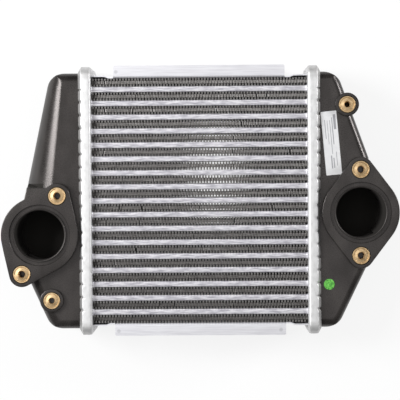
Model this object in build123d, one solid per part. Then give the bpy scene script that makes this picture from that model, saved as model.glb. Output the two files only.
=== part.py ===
from build123d import *
import math
import os

# Charge-air cooler lying on its back, ports up.
# X runs across the core from tank to tank, Y along the tanks, Z up out of the ports.
# The origin is under the middle of the core, on the plane that the header plates rest on.

os.makedirs("parts", exist_ok=True)

# Core
tube_count = 17
tube_pitch = 14.0
tube_height = 5.8
tube_wall = 0.8
tube_stand_through = 1.5
core_depth = 60.0
core_width = 216.8
fin_sheet = 0.3
fin_pitch = 31.0
fin_setback = 0.5
fin_end_clearance = 0.3
turbulator_sheet = 0.3
turbulator_pitch = 58.0
turbulator_clearance = 0.05
turbulator_setback = 4.0

# Side plates
side_sheet = 1.3
side_flange_height = 12.7
side_flange_half_length = 86.0
side_joggle = 1.6
side_joggle_start = 91.0
side_joggle_run = 4.0
side_end_clearance = 0.1

# Header plates with their crimped rim
header_overrun = 11.9
header_margin = 7.0
header_sheet = 1.5
header_corner = 10.0
slot_clearance = 0.05
crimp_reach = 4.2
crimp_clearance = 0.2

# Gaskets
gasket_thickness = 2.0
gasket_width = 4.8

# Both tanks
tank_wall = 3.0
tank_inset = 5.2
foot_thickness = 6.5
plan_corner = 18.0
apex_corner = 24.0
back_rise = 14.0
end_edge_radius = 8.0
cavity_corner_bevel = 9.0
cavity_bevel_share = 0.75
port_bore_radius = 24.8
port_ring_radius = 38.6
port_face_height = 78.0
port_plate_thickness = 12.0
port_insert_spacing = 86.0
lobe_radius = 12.7
neck_radius = 31.0
neck_bottom_height = 15.0
neck_bottom_bevel = 8.0
throat_bottom_radius = 23.6
lobe_post_radius = 11.0
lobe_post_bottom = 38.0
shoulder_inset = 4.0
boss_radius = 11.7
boss_face_height = 73.0
boss_bottom_height = 26.0

# Left tank, distances from the top of its foot
left_top_reach = 32.5
left_top_slant = 13.0
left_bottom_reach = 30.9
left_bottom_slant = 24.5
left_top_edge_radius = 25.0
left_bottom_edge_radius = 16.0
left_port_reach = 42.1
left_port_y = -33.6
left_port_tilt = 24.7
left_round_stop = 47.3
left_boss_reach = 30.8
left_boss_y = -99.7

# Right tank, distances from the top of its foot
right_top_reach = 20.6
right_top_slant = 20.0
right_bottom_reach = 20.0
right_bottom_slant = 25.9
right_top_edge_radius = 8.0
right_bottom_edge_radius = 8.0
right_port_reach = 42.5
right_port_y = -13.1
right_port_tilt = 0.0
right_round_stop = 54.0
right_boss_reach = 29.8
right_boss_y = 95.1

# Brass inserts
port_insert_radius = 8.75
port_insert_length = 12.0
port_thread_radius = 3.3
mount_insert_radius = 8.4
mount_insert_length = 14.0
mount_thread_radius = 2.6

# Label on the right tank
label_width = 15.4
label_length = 63.0
label_thickness = 0.15
label_reach = 13.3
label_y = 57.3
label_tilt = 5.1

# How far a cutter runs past what it cuts
cut_margin = 1.0

# Places that follow from the sizes
fin_height = tube_pitch - tube_height
core_half_height = (tube_count * tube_pitch + fin_height) / 2
core_back = header_margin
core_middle = core_back + core_depth / 2
header_depth = core_depth + 2 * header_margin
header_half_length = core_half_height + header_overrun
base_x = core_width / 2
gasket_x = base_x + header_sheet
foot_x = gasket_x + gasket_thickness
foot_top_x = foot_x + foot_thickness
rim_inside_x = foot_top_x + crimp_clearance
rim_x = rim_inside_x + header_sheet
foot_inset = header_sheet + crimp_clearance
tank_half_length = header_half_length - tank_inset
tank_back = tank_inset
tank_face = header_depth - tank_inset


def zigzag(length, height, sheet, pitch):
    """Face of a folded sheet: waves between two lines that are one height apart."""
    waves = max(1, round(length / pitch))
    half_wave = length / (2 * waves)
    slope = math.atan2(height, half_wave)
    rise = sheet / math.cos(slope)
    upper = []
    lower = []
    for i in range(2 * waves + 1):
        x = -length / 2 + i * half_wave
        low = i % 2 == 0
        upper.append((x, -height / 2 + rise if low else height / 2))
        lower.append((x, -height / 2 if low else height / 2 - rise))
    return Polygon(*upper, *reversed(lower), align=None)


def tube_section(gap):
    """Outside of a flat tube in the YZ plane, widened all round by a gap."""
    return Plane.YZ * Rectangle(tube_height + 2 * gap, core_depth + 2 * gap)


def tube():
    """Flat tube from tank to tank, centred on the origin."""
    half = gasket_x + tube_stand_through
    return extrude(tube_section(0) - tube_section(-tube_wall), half, both=True)


def fin_strip():
    """Folded fin strip that fills the gap between two tubes, centred on the origin."""
    length = core_width - 2 * fin_end_clearance
    section = zigzag(length, fin_height, fin_sheet, fin_pitch)
    return extrude(section, core_depth / 2 - fin_setback, both=True)


def turbulator():
    """Folded sheet inside a tube, with its channels along the tube."""
    width = core_depth - 2 * tube_wall - 2 * turbulator_clearance
    height = tube_height - 2 * tube_wall - 2 * turbulator_clearance
    section = zigzag(width, height, turbulator_sheet, turbulator_pitch)
    half = gasket_x + tube_stand_through - turbulator_setback
    across = Plane((0, 0, 0), x_dir=(0, 0, 1), z_dir=(1, 0, 0))
    return extrude(across * section, half, both=True)


def side_plate():
    """U-channel that closes the top of the core, its flanges turned away from the fins."""
    half = base_x - side_end_clearance
    bend = side_joggle_start
    step = side_joggle_start + side_joggle_run
    low = core_half_height
    rise = low + side_joggle
    inner = [(-half, rise), (-step, rise), (-bend, low), (bend, low), (step, rise), (half, rise)]
    outer = [(x, y + side_sheet) for x, y in reversed(inner)]
    base = extrude(Polygon(*inner, *outer, align=None), core_depth / 2, both=True)
    flange = Pos(0, low + side_flange_height / 2, core_depth / 2 - side_sheet / 2) * Box(
        2 * side_flange_half_length, side_flange_height, side_sheet
    )
    return Pos(0, 0, core_middle) * (base + flange + mirror(flange, about=Plane.XY))


def tray_block(inset, start, end):
    """Block with the header plate's rounded outline, drawn in by an inset."""
    outline = RectangleRounded(
        2 * (header_half_length - inset),
        header_depth - 2 * inset,
        header_corner - inset,
    )
    plane = Plane((start, 0, header_depth / 2), x_dir=(0, 1, 0), z_dir=(1, 0, 0))
    return extrude(plane * outline, end - start)


def square_block(inset, start, end):
    """Block with the header plate's outline, drawn in by an inset and square at its corners."""
    outline = Rectangle(2 * (header_half_length - inset), header_depth - 2 * inset)
    plane = Plane((start, 0, header_depth / 2), x_dir=(0, 1, 0), z_dir=(1, 0, 0))
    return extrude(plane * outline, end - start)


def row_y(index):
    """Height of a tube's middle, counted from the bottom of the core."""
    return -core_half_height + fin_height + tube_height / 2 + index * tube_pitch


def header_plate():
    """Pressed tray at the right of the core: slotted base, wall and crimped rim."""
    tray = tray_block(0, base_x, rim_x)
    tray -= tray_block(header_sheet, gasket_x, rim_inside_x)
    tray -= square_block(crimp_reach, rim_inside_x, rim_x)
    cutter = extrude(tube_section(slot_clearance), header_sheet)
    for index in range(tube_count):
        tray -= Pos(base_x, row_y(index), core_middle) * cutter
    return tray


def gasket():
    """Rubber ring in the gutter of the right header plate."""
    outside = tray_block(foot_inset, gasket_x, foot_x)
    return outside - square_block(foot_inset + gasket_width, gasket_x, foot_x)


def tank_corners(sizes, inset):
    """Corners of a tank's outline seen from the front, drawn in by an inset: bottom, apex, top."""
    top = math.radians(sizes["top_slant"])
    bottom = math.radians(sizes["bottom_slant"])
    half = tank_half_length - inset
    top_x = foot_top_x + sizes["top_reach"] - inset * (1 - math.sin(top)) / math.cos(top)
    bottom_x = foot_top_x + sizes["bottom_reach"] - inset * (1 - math.sin(bottom)) / math.cos(bottom)
    spread = math.tan(top) + math.tan(bottom)
    apex_y = (top_x - bottom_x + half * (math.tan(top) - math.tan(bottom))) / spread
    apex_x = top_x + (half - apex_y) * math.tan(top)
    return (bottom_x, -half), (apex_x, apex_y), (top_x, half)


def tank_plan(sizes):
    """Outline of a tank's body seen from the front, with its corners rounded."""
    corners = tank_corners(sizes, 0)
    half = tank_half_length
    plan = Polygon((foot_x, -half), *corners, (foot_x, half), align=None)
    ends = [v for v in plan.vertices() if v.X > foot_x + cut_margin and abs(v.Y) > half - cut_margin]
    plan = fillet(ends, plan_corner)
    return fillet(plan.vertices().sort_by(Axis.X)[-1], apex_corner)


def sloping_back(low):
    """Wedge under a tank's sloping back."""
    reach = neck_radius + max(left_port_reach, right_port_reach)
    wedge = Polygon(
        (foot_top_x, low),
        (foot_top_x + reach, low),
        (foot_top_x + reach, low + back_rise),
        align=None,
    )
    return extrude(Plane.XZ * wedge, tank_half_length + cut_margin, both=True)


def edge_section(radius):
    """What rounding a square corner takes off it, with the corner at the origin."""
    square = Pos(-radius / 2, -radius / 2) * Rectangle(radius, radius)
    return square - Pos(-radius, -radius) * Circle(radius)


def bevel_section(leg):
    """What a bevel takes off a square corner, with the corner at the origin."""
    return Polygon((0, 0), (-leg, 0), (0, -leg), align=None)


def edge_bar(start, end, outward, height, section):
    """Bar of one section along an edge from start to end."""
    plane = Plane((*start, height), x_dir=(*outward, 0), z_dir=(outward[1], -outward[0], 0))
    run = Vector(*end) - Vector(*start)
    return extrude(plane * section, run.length, dir=run)


def outer_edges(body, start):
    """Edges round the front of a body, without those at its open end."""
    edges = body.faces().sort_by(Axis.Z)[-1].edges()
    return ShapeList(e for e in edges if e.center().X > start + cut_margin)


def port_spots(sizes):
    """Places of a port's two inserts, the one nearer the core first."""
    tilt = math.radians(sizes["port_tilt"])
    half = port_insert_spacing / 2
    x = foot_top_x + sizes["port_reach"]
    y = sizes["port_y"]
    return [
        (x - half * math.sin(tilt), y + half * math.cos(tilt)),
        (x + half * math.sin(tilt), y - half * math.cos(tilt)),
    ]


def port_outline(sizes):
    """Two-lobed flange: a ring round the bore and a lobe round each insert."""
    ring = Pos(foot_top_x + sizes["port_reach"], sizes["port_y"]) * Circle(port_ring_radius)
    edges = ring.edges()
    for x, y in port_spots(sizes):
        edges += (Pos(x, y) * Circle(lobe_radius)).edges()
    return make_hull(edges)


def shoulder_outline(sizes):
    """Corner between the flange and the slanted wall, filled up to a ledge along that wall."""
    x, y = port_spots(sizes)[0]
    corner = Pos(x, sizes["port_y"]) * Rectangle(
        2 * port_ring_radius, sizes["round_stop"], align=(Align.MIN, Align.MIN)
    )
    return corner & Pos(-shoulder_inset, 0) * tank_plan(sizes)


def post(x, y, radius, low, high):
    """Upright round post."""
    return extrude(Pos(x, y, low) * Circle(radius), high - low)


def port_throat(x, y, high):
    """Way from a port's bore down to the tank's back, narrowed by the draft of its moulding core."""
    low = neck_bottom_height + 2 * tank_wall
    align = (Align.CENTER, Align.CENTER, Align.MIN)
    return Pos(x, y, low) * Cone(throat_bottom_radius, port_bore_radius, high - low, align=align)


def slanted_edge(sizes, inset, way):
    """Front edge of the slanted wall above the port (way 1) or below it (way -1), drawn in by an inset.

    It gives the edge's corner, its stop by the port and its outward direction.
    """
    bottom, _, top = tank_corners(sizes, inset)
    corner = top if way > 0 else bottom
    angle = math.radians(sizes["top_slant"] if way > 0 else -sizes["bottom_slant"])
    stop_y = sizes["port_y"] + way * (sizes["round_stop"] - inset)
    stop = (corner[0] + (corner[1] - stop_y) * math.tan(angle), stop_y)
    return corner, stop, (math.cos(angle), math.sin(angle))


def tank_body(sizes):
    """Solid outside form of a tank without its port: slanted walls, sloping back, rounded face edges."""
    body = extrude(Pos(0, 0, tank_back) * tank_plan(sizes), tank_face - tank_back)
    body -= sloping_back(tank_back)
    for way, radius in ((1, sizes["top_edge_radius"]), (-1, sizes["bottom_edge_radius"])):
        body -= edge_bar(*slanted_edge(sizes, 0, way), tank_face, edge_section(radius))
    bottom, _, top = tank_corners(sizes, 0)
    for x, y in (bottom, top):
        outward = (0, math.copysign(1, y))
        body -= edge_bar((foot_x, y), (x, y), outward, tank_face, edge_section(end_edge_radius))
    return body


def tank_cavity(sizes):
    """Air space of a tank, open towards the core, one wall inside the outside form."""
    bottom, apex, top = tank_corners(sizes, tank_wall)
    mouth = foot_x - cut_margin
    plan = Polygon((mouth, bottom[1]), bottom, apex, top, (mouth, top[1]), align=None)
    ends = [v for v in plan.vertices() if v.X > foot_x and abs(v.Y) > top[1] - cut_margin]
    plan = chamfer(ends, cavity_corner_bevel)
    low = tank_back + tank_wall
    high = tank_face - tank_wall
    cavity = extrude(Pos(0, 0, low) * plan, high - low) - sloping_back(low)
    top_bevel = cavity_bevel_share * (sizes["top_edge_radius"] - tank_wall)
    bottom_bevel = cavity_bevel_share * (sizes["bottom_edge_radius"] - tank_wall)
    cavity = chamfer(outer_edges(cavity, mouth), bottom_bevel)
    if top_bevel > bottom_bevel:
        cavity -= edge_bar(*slanted_edge(sizes, tank_wall, 1), high, bevel_section(top_bevel))
    return cavity


def tank(sizes, outboard_lobe):
    """Moulded tank at the right of the core: foot, shell, port with its flange, and mounting boss.

    Where one lobe of the flange stands clear of the body, it gets a post and a shoulder.
    """
    port_x = foot_top_x + sizes["port_reach"]
    port_y = sizes["port_y"]
    plate_low = port_face_height - port_plate_thickness
    neck = post(port_x, port_y, neck_radius, neck_bottom_height, port_face_height)
    neck = chamfer(neck.edges().sort_by(Axis.Z)[0], neck_bottom_bevel)
    plate = extrude(Pos(0, 0, plate_low) * port_outline(sizes), port_plate_thickness)
    boss_x = foot_top_x + sizes["boss_reach"]
    posts = [post(boss_x, sizes["boss_y"], boss_radius, boss_bottom_height, boss_face_height)]
    if outboard_lobe:
        plate += extrude(Pos(0, 0, plate_low) * shoulder_outline(sizes), port_plate_thickness)
        posts.append(post(*port_spots(sizes)[1], lobe_post_radius, lobe_post_bottom, port_face_height))

    foot = tray_block(foot_inset, foot_x, foot_top_x)
    shell = foot + tank_body(sizes) + neck + plate
    cavity = tank_cavity(sizes)
    for each in posts:
        shell += each
        cavity -= each
    shell -= cavity
    shell -= post(port_x, port_y, port_bore_radius, plate_low, port_face_height)
    shell -= port_throat(port_x, port_y, plate_low)
    for pocket in insert_envelopes(sizes):
        shell -= pocket
    return shell


def insert_envelopes(sizes):
    """Full round of each insert in a tank: the port's two, then the mounting boss's one."""
    rounds = [
        post(x, y, port_insert_radius, port_face_height - port_insert_length, port_face_height)
        for x, y in port_spots(sizes)
    ]
    x = foot_top_x + sizes["boss_reach"]
    low = boss_face_height - mount_insert_length
    rounds.append(post(x, sizes["boss_y"], mount_insert_radius, low, boss_face_height))
    return rounds


def inserts(sizes):
    """Threaded brass bushes of a tank, in the order of their envelopes."""
    thread_radii = [port_thread_radius, port_thread_radius, mount_thread_radius]
    drilled = []
    for envelope, radius in zip(insert_envelopes(sizes), thread_radii):
        middle = envelope.center()
        box = envelope.bounding_box()
        drilled.append(envelope - post(middle.X, middle.Y, radius, box.min.Z, box.max.Z))
    return drilled


def save(shape, name):
    export_step(shape, f"parts/{name}.step")


left_sizes = {
    "top_reach": left_top_reach,
    "top_slant": left_top_slant,
    "bottom_reach": left_bottom_reach,
    "bottom_slant": left_bottom_slant,
    "top_edge_radius": left_top_edge_radius,
    "bottom_edge_radius": left_bottom_edge_radius,
    "port_reach": left_port_reach,
    "port_y": left_port_y,
    "port_tilt": left_port_tilt,
    "round_stop": left_round_stop,
    "boss_reach": left_boss_reach,
    "boss_y": left_boss_y,
}
right_sizes = {
    "top_reach": right_top_reach,
    "top_slant": right_top_slant,
    "bottom_reach": right_bottom_reach,
    "bottom_slant": right_bottom_slant,
    "top_edge_radius": right_top_edge_radius,
    "bottom_edge_radius": right_bottom_edge_radius,
    "port_reach": right_port_reach,
    "port_y": right_port_y,
    "port_tilt": right_port_tilt,
    "round_stop": right_round_stop,
    "boss_reach": right_boss_reach,
    "boss_y": right_boss_y,
}

# Tubes, fin strips and turbulators
one_tube = tube()
for index in range(tube_count):
    save(Pos(0, row_y(index), core_middle) * one_tube, f"tube_{index + 1:02d}")

one_strip = fin_strip()
for index in range(tube_count + 1):
    y = row_y(index) - tube_pitch / 2
    save(Pos(0, y, core_middle) * one_strip, f"fin_strip_{index + 1:02d}")

one_turbulator = turbulator()
turbulators = [Pos(0, row_y(index), core_middle) * one_turbulator for index in range(tube_count)]
save(Compound(children=turbulators), "turbulators")

# Side plates
top_side_plate = side_plate()
save(top_side_plate, "top_side_plate")
save(mirror(top_side_plate, about=Plane.XZ), "bottom_side_plate")

# Header plates and gaskets
right_header = header_plate()
save(right_header, "right_header_plate")
save(mirror(right_header, about=Plane.YZ), "left_header_plate")
right_gasket = gasket()
save(right_gasket, "right_tank_gasket")
save(mirror(right_gasket, about=Plane.YZ), "left_tank_gasket")

# Tanks and their inserts
save(tank(right_sizes, outboard_lobe=False), "right_tank")
save(mirror(tank(left_sizes, outboard_lobe=True), about=Plane.YZ), "left_tank")
bushes = inserts(right_sizes) + [mirror(b, about=Plane.YZ) for b in inserts(left_sizes)]
save(Compound(children=bushes[0:2] + bushes[3:5]), "port_flange_inserts")
save(Compound(children=[bushes[2], bushes[5]]), "mounting_inserts")

# Label
place = Pos(foot_top_x + label_reach, label_y, tank_face) * Rot(0, 0, label_tilt)
save(extrude(place * Rectangle(label_width, label_length), label_thickness), "label")
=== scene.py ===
import math
import bmesh
import bpy
import numpy as np
from mathutils import Matrix, Vector
from mathutils.geometry import delaunay_2d_cdt


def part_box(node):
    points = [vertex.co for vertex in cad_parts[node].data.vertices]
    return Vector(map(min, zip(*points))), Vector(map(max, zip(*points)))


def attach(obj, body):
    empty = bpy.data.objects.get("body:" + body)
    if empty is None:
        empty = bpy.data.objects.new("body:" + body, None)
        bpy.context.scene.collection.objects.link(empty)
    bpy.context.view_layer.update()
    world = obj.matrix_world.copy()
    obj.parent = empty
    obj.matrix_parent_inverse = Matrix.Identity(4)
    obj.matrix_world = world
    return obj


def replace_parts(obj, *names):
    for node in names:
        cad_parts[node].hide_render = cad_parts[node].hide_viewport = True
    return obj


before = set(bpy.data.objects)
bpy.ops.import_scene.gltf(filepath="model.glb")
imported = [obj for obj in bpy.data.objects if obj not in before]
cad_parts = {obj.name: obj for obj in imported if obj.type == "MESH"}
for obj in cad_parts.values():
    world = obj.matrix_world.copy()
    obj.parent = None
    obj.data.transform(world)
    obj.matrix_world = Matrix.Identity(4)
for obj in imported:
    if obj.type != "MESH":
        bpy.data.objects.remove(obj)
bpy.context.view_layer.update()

mm = 0.001


# Flat tubes: extruded aluminium with rounded noses, brazed into both header plates.
# Brazing leaves smears of pale flux along each nose and a white collar where the tube meets the plate.
tube_count = 17
tube_wall = 0.8 * mm
tube_nose_radius = 1.0 * mm
header_face = 108.4 * mm
collar_places = np.array([0.0, 0.35, 0.9, 1.7, 3.2]) * mm
collar_swell = np.array([1.15, 0.62, 0.3, 0.12, 0.0]) * mm
tube_pitch = abs(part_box("tube_17")[0][1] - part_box("tube_01")[0][1]) / (tube_count - 1)


def make_piece(name, shells, material, sharp=38):
    """One object from closed shells, each its points and a list of face arrays; it rides on the cooler.

    Points that coincide are merged, then all faces are turned outwards.
    Edges are sharp where two faces meet at more than the given angle.
    """
    points = np.concatenate([shell[0] for shell in shells])
    starts = np.cumsum([0] + [len(shell[0]) for shell in shells[:-1]])
    faces = []
    for start, shell in zip(starts, shells):
        for block in shell[1]:
            faces += (np.asarray(block) + start).tolist()
    mesh = bpy.data.meshes.new(name)
    mesh.from_pydata(points.tolist(), [], faces)
    work = bmesh.new()
    work.from_mesh(mesh)
    bmesh.ops.remove_doubles(work, verts=work.verts, dist=1e-6)
    bmesh.ops.recalc_face_normals(work, faces=work.faces)
    work.to_mesh(mesh)
    work.free()
    mesh.polygons.foreach_set("use_smooth", np.ones(len(mesh.polygons), bool))
    mesh.set_sharp_from_angle(angle=math.radians(sharp))
    mesh.materials.append(material)
    piece = bpy.data.objects.new(name, mesh)
    bpy.context.scene.collection.objects.link(piece)
    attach(piece, "root")
    return piece


def loft(rings, closed=False):
    """Skin over rings of equally many points: quads join each point to the same point of the next ring.

    An open loft is capped at both ends; a closed one joins its last ring to its first.
    """
    count, size, _ = rings.shape
    index = np.arange(count * size).reshape(count, size)
    order = np.vstack([index, index[:1]]) if closed else index
    near = order[:-1]
    far = order[1:]
    quads = np.stack([near, np.roll(near, -1, 1), np.roll(far, -1, 1), far], -1).reshape(-1, 4)
    faces = [quads] if closed else [quads, index[:1, ::-1], index[-1:]]
    return rings.reshape(-1, 3), faces


def hull(circles, angles):
    """Line of a tight string round circles (x, y, radius), with its outward directions.

    For each direction it is the point that reaches furthest that way: centre plus radius times direction.
    """
    outward = np.stack([np.cos(angles), np.sin(angles)], -1)
    circles = np.asarray(circles, float)
    furthest = (outward @ circles[:, :2].T + circles[:, 2]).argmax(1)
    chosen = circles[furthest]
    return chosen[:, :2] + chosen[:, 2:] * outward, outward


def turn(steps):
    """Directions all the way round, in radians, starting just off the axes so that corners stay whole."""
    return (np.arange(steps) + 0.5) * 2 * math.pi / steps


def shader(name, colour, roughness, metallic=0.0):
    """New material with its three basic values set on the shader itself."""
    material = bpy.data.materials.new(name)
    material.use_nodes = True
    base = material.node_tree.nodes["Principled BSDF"]
    base.inputs["Base Color"].default_value = (*colour, 1)
    base.inputs["Roughness"].default_value = roughness
    base.inputs["Metallic"].default_value = metallic
    return material


def add(material, kind, links=None, values=None, **settings):
    """Put a node into a material, with links from sockets, values for its inputs and settings."""
    made = material.node_tree.nodes.new("ShaderNode" + kind)
    for key, value in settings.items():
        setattr(made, key, value)
    for key, value in (values or {}).items():
        made.inputs[key].default_value = value
    for key, socket in (links or {}).items():
        material.node_tree.links.new(socket, made.inputs[key])
    return made


def noise(material, size, detail=3.0):
    """Noise in the object's own space whose blotches are the given sizes along X, Y and Z, in metres."""
    place = add(material, "TexCoord")
    scale = tuple(1 / s for s in size)
    mapped = add(material, "Mapping", {"Vector": place.outputs["Object"]}, {"Scale": scale}).outputs[0]
    return add(material, "TexNoise", {"Vector": mapped}, {"Scale": 1.0, "Detail": detail}).outputs[0]


def ramp(material, value, stops):
    """Colours along a value: stops are (place, colour)."""
    made = add(material, "ValToRGB", {"Fac": value})
    elements = made.color_ramp.elements
    for place, colour in stops[1:-1]:
        elements.new(place)
    for element, (place, colour) in zip(elements, stops):
        element.position = place
        element.color = (*colour, 1)
    return made.outputs[0]


def feed(material, socket, value):
    """Link a value to one of the shader's inputs."""
    base = material.node_tree.nodes["Principled BSDF"]
    material.node_tree.links.new(value, base.inputs[socket])


def bump(material, height, depth, strength=1.0):
    """Relief of the given depth in metres on the whole surface."""
    made = add(material, "Bump", {"Height": height}, {"Distance": depth, "Strength": strength})
    feed(material, "Normal", made.outputs[0])


tube_metal = shader("brazed_tube", (0.8, 0.8, 0.83), 0.5, 0.55)
smear = noise(tube_metal, (9 * mm, 1.3 * mm, 4 * mm), 4.0)
feed(tube_metal, "Base Color", ramp(tube_metal, smear, [
    (0.33, (0.38, 0.37, 0.41)),
    (0.48, (0.56, 0.55, 0.59)),
    (0.62, (0.73, 0.72, 0.75)),
    (1.0, (0.9, 0.9, 0.91)),
]))
bump(tube_metal, smear, 0.25 * mm, 0.6)


def flat_tube(low, high):
    """Shell of a flat tube: its outside, swelled into a collar at each header plate, then its inside."""
    middle = (np.array(low) + np.array(high)) / 2
    half = (np.array(high) - np.array(low)) / 2
    inner_y = half[1] - tube_nose_radius
    inner_z = half[2] - tube_nose_radius
    corners = [(y, z, tube_nose_radius) for y in (-inner_y, inner_y) for z in (-inner_z, inner_z)]
    outline, outward = hull(corners, turn(32))
    places = np.concatenate([[half[0]], header_face - collar_places])
    swell = np.concatenate([[0.0], collar_swell])
    x = np.concatenate([-places, places[::-1]])
    grow = np.concatenate([swell, swell[::-1]])
    outside = outline[None] + outward[None] * grow[:, None, None]
    inside = np.repeat((outline - outward * tube_wall)[None], 2, 0)
    section = np.concatenate([outside, inside])
    x = np.concatenate([x, [half[0], -half[0]]])
    rings = np.dstack([np.repeat(x[:, None], len(outline), 1), section])
    return loft(rings + [0, middle[1], middle[2]], closed=True)


for number in range(1, tube_count + 1):
    node = f"tube_{number:02d}"
    tube = make_piece(f"dressed_{node}", [flat_tube(*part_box(node))], tube_metal)
    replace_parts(tube, node)


# Fin strips: thin aluminium sheet folded into seventy-one waves, brazed to the tubes on both sides.
# Each leg is cut into louvres, which lean one way in the front half and the other way behind.
# The sheet is pale with braze beside the tubes, and further down into the core shade is painted into it, so
# it is dark.
fin_count = 18
fin_sheet = 0.16 * mm
fin_waves = 71
fin_crest = 0.7 * mm
fin_fillet = 2.2 * mm
fin_rise = 0.35 * mm
louvre_start = 0.3
louvre_end = 0.03
louvre_lean = 0.7 * mm
louvre_gap = 0.04 * mm
louvre_depths = np.array([0, 1.6, 3.2, 29.5, 57.4, 59]) * mm
fin_scatter = 0.08 * mm
fin_bend = 0.9 * mm
fin_bend_depth = 5.0 * mm
fin_bent_share = 0.035
fin_seed = 5
fin_brazed_to = 4.2 * mm
fin_bare_from = 5.2 * mm
# Painted shade: the sheet is near black below the first height and keeps its own tone above the second.
fin_shade_full_to = 60.0 * mm
fin_shade_gone_from = 65.5 * mm

fin_metal = shader("fin_sheet", (0.13, 0.12, 0.115), 0.45, 0.8)
fin_haze = noise(fin_metal, (6 * mm, 3 * mm, 10 * mm))
fin_tone = ramp(fin_metal, fin_haze, [
    (0.3, (0.105, 0.099, 0.096)),
    (0.6, (0.14, 0.133, 0.129)),
    (1.0, (0.2, 0.193, 0.188)),
])


def axes(material):
    """X, Y and Z of the object's own space."""
    return add(material, "SeparateXYZ", {"Vector": add(material, "TexCoord").outputs["Object"]}).outputs


def calculate(material, operation, first, second=0.0):
    """Outcome of an operation on a socket and a second value, which is a number or a socket."""
    made = add(material, "Math", {0: first}, operation=operation)
    if isinstance(second, bpy.types.NodeSocket):
        material.node_tree.links.new(second, made.inputs[1])
    else:
        made.inputs[1].default_value = second
    return made.outputs[0]


def fade(material, value, start, end, at_start, at_end):
    """Level that goes evenly from one number to another while a value goes from start to end."""
    return add(material, "MapRange", {"Value": value}, {
        "From Min": start, "From Max": end, "To Min": at_start, "To Max": at_end}).outputs[0]


def cover(material, share, colour, under):
    """Plain colour laid over another one by a share from nought to one."""
    return add(material, "MixRGB", {"Fac": share, "Color1": under}, {"Color2": (*colour, 1)}).outputs[0]


fin_axes = axes(fin_metal)
fin_from_tube = calculate(fin_metal, "PINGPONG", fin_axes["Y"], tube_pitch / 2)
fin_brazed = fade(fin_metal, fin_from_tube, fin_brazed_to, fin_bare_from, 0.9, 0.0)
fin_tone = cover(fin_metal, fin_brazed, (0.22, 0.213, 0.207), fin_tone)
# Painted shade deeper into the core.
fin_painted_shade = fade(fin_metal, fin_axes["Z"], fin_shade_full_to, fin_shade_gone_from, 1.0, 0.0)
feed(fin_metal, "Base Color", cover(fin_metal, fin_painted_shade, (0.015, 0.014, 0.013), fin_tone))


def fin_shell(low, high, seed):
    """Folded and louvred strip: a zigzag ribbon in X and Y, carried along Z.

    Each wave has fourteen points: a crest, a leg with its louvred stretch, a crest and a leg back.
    Along a louvre the leg moves from one side of its line to the other, and jumps back at the next.
    At each crest the ribbon is thicker by the braze that has run into its corner.
    """
    random = np.random.default_rng(seed)
    pitch = (high[0] - low[0]) / fin_waves
    half = (high[1] - low[1]) / 2 - fin_sheet / 2
    side = pitch / 2 - fin_crest
    leg = np.array([louvre_start - louvre_end, louvre_start, 1 - louvre_start,
                    1 - louvre_start + louvre_end])
    climb = half - fin_rise
    rise_x = np.concatenate([[0, fin_crest], fin_crest + leg * (side - fin_crest), [side]])
    wave_x = np.concatenate([rise_x, rise_x + pitch / 2])
    rise_y = np.concatenate([[-half, -climb], -climb + leg * 2 * climb, [climb]])
    wave_y = np.concatenate([rise_y, -rise_y])
    size = len(wave_x)
    lean = np.tile([0, 0, 0, 1, 1, 0, 0], 2) * louvre_lean
    x = (low[0] + np.arange(fin_waves)[:, None] * pitch + wave_x).ravel()
    y = np.tile(wave_y, fin_waves)
    lean = np.tile(lean, fin_waves)
    scatter = np.repeat(random.normal(0, fin_scatter, (fin_waves, 2)), size // 2, 1).ravel()
    bent = (random.random((fin_waves, 2)) < fin_bent_share) * random.normal(0, fin_bend, (fin_waves, 2))
    bent = np.repeat(bent, size // 2, 1).ravel() * (lean > 0)
    edge = np.clip(np.minimum(x - low[0], high[0] - x) / pitch, 0, 1)
    x = x + scatter * edge
    along = np.stack([np.gradient(x), np.gradient(y)], -1)
    across = np.stack([-along[:, 1], along[:, 0]], -1) / np.linalg.norm(along, axis=1)[:, None]
    ribbon = np.stack([x, y + (low[1] + high[1]) / 2], -1)
    ribbon[:, 0] = np.clip(ribbon[:, 0], low[0] + fin_sheet, high[0] - fin_sheet)
    front = ribbon + across * fin_sheet / 2
    back = ribbon - across * fin_sheet / 2
    filled = np.zeros(size)
    filled[[0, 1, -1]] = fin_fillet - np.array([0, fin_rise, fin_rise])
    front[:, 1] += np.tile(filled, fin_waves)
    back[:, 1] -= np.tile(np.roll(filled, size // 2), fin_waves)
    outline = np.concatenate([front, back[::-1]])
    lean = np.concatenate([lean, lean[::-1]])
    bent = np.concatenate([bent, bent[::-1]])

    starts = louvre_depths[:-1]
    ends = louvre_depths[1:]
    depth = np.stack([starts + louvre_gap / 2, ends - louvre_gap / 2], -1).ravel()
    way = np.where(depth < louvre_depths[-1] / 2, 1, -1)
    shift = np.tile([1.0, -1.0], len(starts)) * way
    share = np.exp(-depth / fin_bend_depth)
    rings = np.zeros((len(depth), len(outline), 3))
    rings[:, :, 0] = outline[:, 0] + shift[:, None] * lean + share[:, None] * bent
    rings[:, :, 1] = outline[:, 1]
    rings[:, :, 2] = high[2] - depth[:, None]
    rings[:, :, 0] = np.clip(rings[:, :, 0], low[0], high[0])
    points, faces = loft(rings)
    count = len(ribbon)
    size = len(outline)
    near = np.arange(count - 1)
    cap = np.stack([near, near + 1, size - 2 - near, size - 1 - near], -1)
    return points, [faces[0], cap, cap[:, ::-1] + len(points) - size]


for number in range(1, fin_count + 1):
    node = f"fin_strip_{number:02d}"
    shell = fin_shell(*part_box(node), fin_seed + number)
    strip = make_piece(f"folded_{node}", [shell], fin_metal, sharp=60)
    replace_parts(strip, node)


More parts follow.
